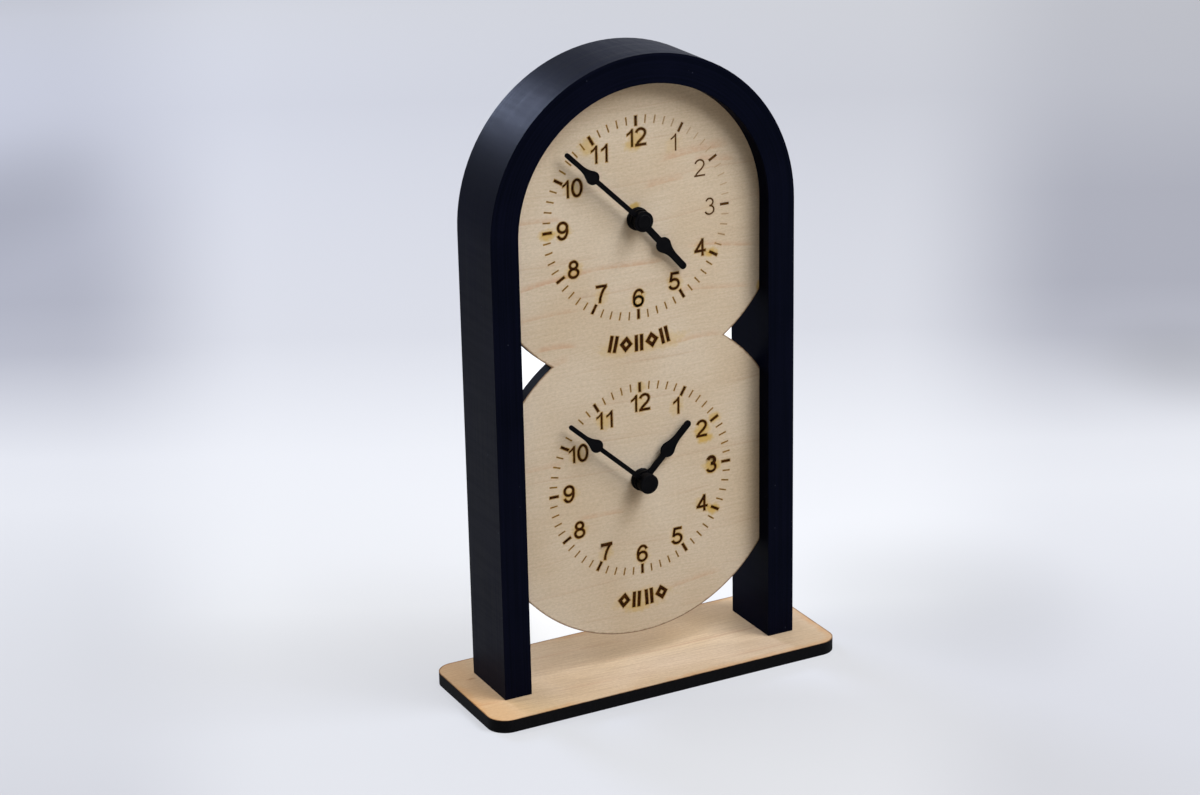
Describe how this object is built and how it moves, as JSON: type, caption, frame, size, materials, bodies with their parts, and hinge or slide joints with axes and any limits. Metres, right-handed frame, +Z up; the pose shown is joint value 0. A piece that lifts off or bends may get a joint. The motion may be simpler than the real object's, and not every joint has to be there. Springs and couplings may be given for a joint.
{
  "type": "world time clock",
  "caption": "Table clock with two round quartz dials on one plywood plate, one above the other, in a black arch frame on a thin plywood base.",
  "frame": {"origin": "middle of the underside of the base, on the surface that the clock stands on", "axes": "+Z up, -Y to the front where the dials face, +X to the right seen from the front"},
  "size_m": [0.178, 0.0676, 0.2922],
  "materials": {
    "plywood": "bare maple plywood, laser cut with dark edges",
    "frame_plastic": "satin black with a blue cast",
    "hand_black": "matte black",
    "case_plastic": "moulded black",
    "knob_plastic": "moulded white",
    "gear_plastic": "moulded acetal",
    "bridge_plastic": "moulded",
    "washer_rubber": "matte",
    "steel": "plain",
    "magnet": "sintered ferrite",
    "copper": "enamelled copper wire",
    "board": "glass fibre board",
    "battery_shell": "plain printed jacket"
  },
  "bodies": {
    "stand": {"base_plate": "plywood", "base_screws": "steel", "arch_frame": "frame_plastic", "dial_plate": "plywood", "lower_movement_case": "case_plastic", "lower_back_cover": "case_plastic", "lower_threaded_bush": "case_plastic", "lower_mounting_nut": "hand_black", "lower_rubber_washer": "washer_rubber", "lower_train_bridge": "bridge_plastic", "lower_stator": "steel", "lower_coil_bobbin": "bridge_plastic", "lower_coil_winding": "copper", "lower_circuit_board": "board", "lower_battery": "battery_shell", "lower_battery_contacts": "steel", "upper_movement_case": "case_plastic", "upper_back_cover": "case_plastic", "upper_threaded_bush": "case_plastic", "upper_mounting_nut": "hand_black", "upper_rubber_washer": "washer_rubber", "upper_train_bridge": "bridge_plastic", "upper_stator": "steel", "upper_coil_bobbin": "bridge_plastic", "upper_coil_winding": "copper", "upper_circuit_board": "board", "upper_battery": "battery_shell", "upper_battery_contacts": "steel"},
    "lower_minute_hand": {"lower_minute_arbor": "gear_plastic", "lower_minute_hand": "hand_black", "lower_hand_cap": "hand_black", "lower_friction_spring": "steel"},
    "lower_hour_hand": {"lower_hour_wheel": "gear_plastic", "lower_hour_hand": "hand_black"},
    "lower_minute_wheel": {"lower_minute_wheel": "gear_plastic"},
    "lower_setting_knob": {"lower_setting_knob": "knob_plastic"},
    "lower_rotor": {"lower_rotor_pinion": "gear_plastic", "lower_rotor_magnet": "magnet"},
    "lower_fifth_wheel": {"lower_fifth_wheel": "gear_plastic"},
    "lower_fourth_wheel": {"lower_fourth_wheel": "gear_plastic"},
    "lower_third_wheel": {"lower_third_wheel": "gear_plastic"},
    "lower_centre_wheel": {"lower_centre_wheel": "gear_plastic"},
    "upper_minute_hand": {"upper_minute_arbor": "gear_plastic", "upper_minute_hand": "hand_black", "upper_hand_cap": "hand_black", "upper_friction_spring": "steel"},
    "upper_hour_hand": {"upper_hour_wheel": "gear_plastic", "upper_hour_hand": "hand_black"},
    "upper_minute_wheel": {"upper_minute_wheel": "gear_plastic"},
    "upper_setting_knob": {"upper_setting_knob": "knob_plastic"},
    "upper_rotor": {"upper_rotor_pinion": "gear_plastic", "upper_rotor_magnet": "magnet"},
    "upper_fifth_wheel": {"upper_fifth_wheel": "gear_plastic"},
    "upper_fourth_wheel": {"upper_fourth_wheel": "gear_plastic"},
    "upper_third_wheel": {"upper_third_wheel": "gear_plastic"},
    "upper_centre_wheel": {"upper_centre_wheel": "gear_plastic"}
  },
  "joints": [
    {"name": "lower_minute_hand_turn", "type": "hinge", "parent": "stand", "child": "lower_minute_hand", "pos_m": [0, 0, 0.0949], "axis": [0, 1, 0], "continuous": true},
    {"name": "lower_hour_hand_turn", "type": "hinge", "parent": "stand", "child": "lower_hour_hand", "pos_m": [0, 0, 0.0949], "axis": [0, 1, 0], "continuous": true},
    {"name": "lower_minute_wheel_turn", "type": "hinge", "parent": "stand", "child": "lower_minute_wheel", "pos_m": [-0.00705, 0, 0.09233], "axis": [0, 1, 0], "continuous": true},
    {"name": "lower_setting_knob_turn", "type": "hinge", "parent": "stand", "child": "lower_setting_knob", "pos_m": [-0.01443, 0, 0.09364], "axis": [0, 1, 0], "continuous": true},
    {"name": "lower_rotor_turn", "type": "hinge", "parent": "stand", "child": "lower_rotor", "pos_m": [-0.0042, 0, 0.10817], "axis": [0, 1, 0], "continuous": true},
    {"name": "lower_fifth_wheel_turn", "type": "hinge", "parent": "stand", "child": "lower_fifth_wheel", "pos_m": [-0.0042, 0, 0.10217], "axis": [0, 1, 0], "continuous": true},
    {"name": "lower_fourth_wheel_turn", "type": "hinge", "parent": "stand", "child": "lower_fourth_wheel", "pos_m": [0, 0, 0.0949], "axis": [0, 1, 0], "continuous": true},
    {"name": "lower_third_wheel_turn", "type": "hinge", "parent": "stand", "child": "lower_third_wheel", "pos_m": [0.00736, 0, 0.09915], "axis": [0, 1, 0], "continuous": true},
    {"name": "lower_centre_wheel_turn", "type": "hinge", "parent": "stand", "child": "lower_centre_wheel", "pos_m": [0, 0, 0.0949], "axis": [0, 1, 0], "continuous": true},
    {"name": "upper_minute_hand_turn", "type": "hinge", "parent": "stand", "child": "upper_minute_hand", "pos_m": [0, 0, 0.2172], "axis": [0, 1, 0], "continuous": true},
    {"name": "upper_hour_hand_turn", "type": "hinge", "parent": "stand", "child": "upper_hour_hand", "pos_m": [0, 0, 0.2172], "axis": [0, 1, 0], "continuous": true},
    {"name": "upper_minute_wheel_turn", "type": "hinge", "parent": "stand", "child": "upper_minute_wheel", "pos_m": [-0.00705, 0, 0.21463], "axis": [0, 1, 0], "continuous": true},
    {"name": "upper_setting_knob_turn", "type": "hinge", "parent": "stand", "child": "upper_setting_knob", "pos_m": [-0.01443, 0, 0.21594], "axis": [0, 1, 0], "continuous": true},
    {"name": "upper_rotor_turn", "type": "hinge", "parent": "stand", "child": "upper_rotor", "pos_m": [-0.0042, 0, 0.23047], "axis": [0, 1, 0], "continuous": true},
    {"name": "upper_fifth_wheel_turn", "type": "hinge", "parent": "stand", "child": "upper_fifth_wheel", "pos_m": [-0.0042, 0, 0.22447], "axis": [0, 1, 0], "continuous": true},
    {"name": "upper_fourth_wheel_turn", "type": "hinge", "parent": "stand", "child": "upper_fourth_wheel", "pos_m": [0, 0, 0.2172], "axis": [0, 1, 0], "continuous": true},
    {"name": "upper_third_wheel_turn", "type": "hinge", "parent": "stand", "child": "upper_third_wheel", "pos_m": [0.00736, 0, 0.22145], "axis": [0, 1, 0], "continuous": true},
    {"name": "upper_centre_wheel_turn", "type": "hinge", "parent": "stand", "child": "upper_centre_wheel", "pos_m": [0, 0, 0.2172], "axis": [0, 1, 0], "continuous": true}
  ],
  "couplings": [
    {"joint": "lower_hour_hand_turn", "follows": "lower_minute_hand_turn", "ratio": 0.083333},
    {"joint": "lower_minute_wheel_turn", "follows": "lower_minute_hand_turn", "ratio": -0.33333},
    {"joint": "lower_setting_knob_turn", "follows": "lower_minute_hand_turn", "ratio": 1},
    {"joint": "lower_fifth_wheel_turn", "follows": "lower_rotor_turn", "ratio": -0.2},
    {"joint": "lower_fourth_wheel_turn", "follows": "lower_rotor_turn", "ratio": 0.033333},
    {"joint": "lower_third_wheel_turn", "follows": "lower_rotor_turn", "ratio": -0.0041667},
    {"joint": "lower_centre_wheel_turn", "follows": "lower_rotor_turn", "ratio": 0.00055556},
    {"joint": "upper_hour_hand_turn", "follows": "upper_minute_hand_turn", "ratio": 0.083333},
    {"joint": "upper_minute_wheel_turn", "follows": "upper_minute_hand_turn", "ratio": -0.33333},
    {"joint": "upper_setting_knob_turn", "follows": "upper_minute_hand_turn", "ratio": 1},
    {"joint": "upper_fifth_wheel_turn", "follows": "upper_rotor_turn", "ratio": -0.2},
    {"joint": "upper_fourth_wheel_turn", "follows": "upper_rotor_turn", "ratio": 0.033333},
    {"joint": "upper_third_wheel_turn", "follows": "upper_rotor_turn", "ratio": -0.0041667},
    {"joint": "upper_centre_wheel_turn", "follows": "upper_rotor_turn", "ratio": 0.00055556}
  ]
}
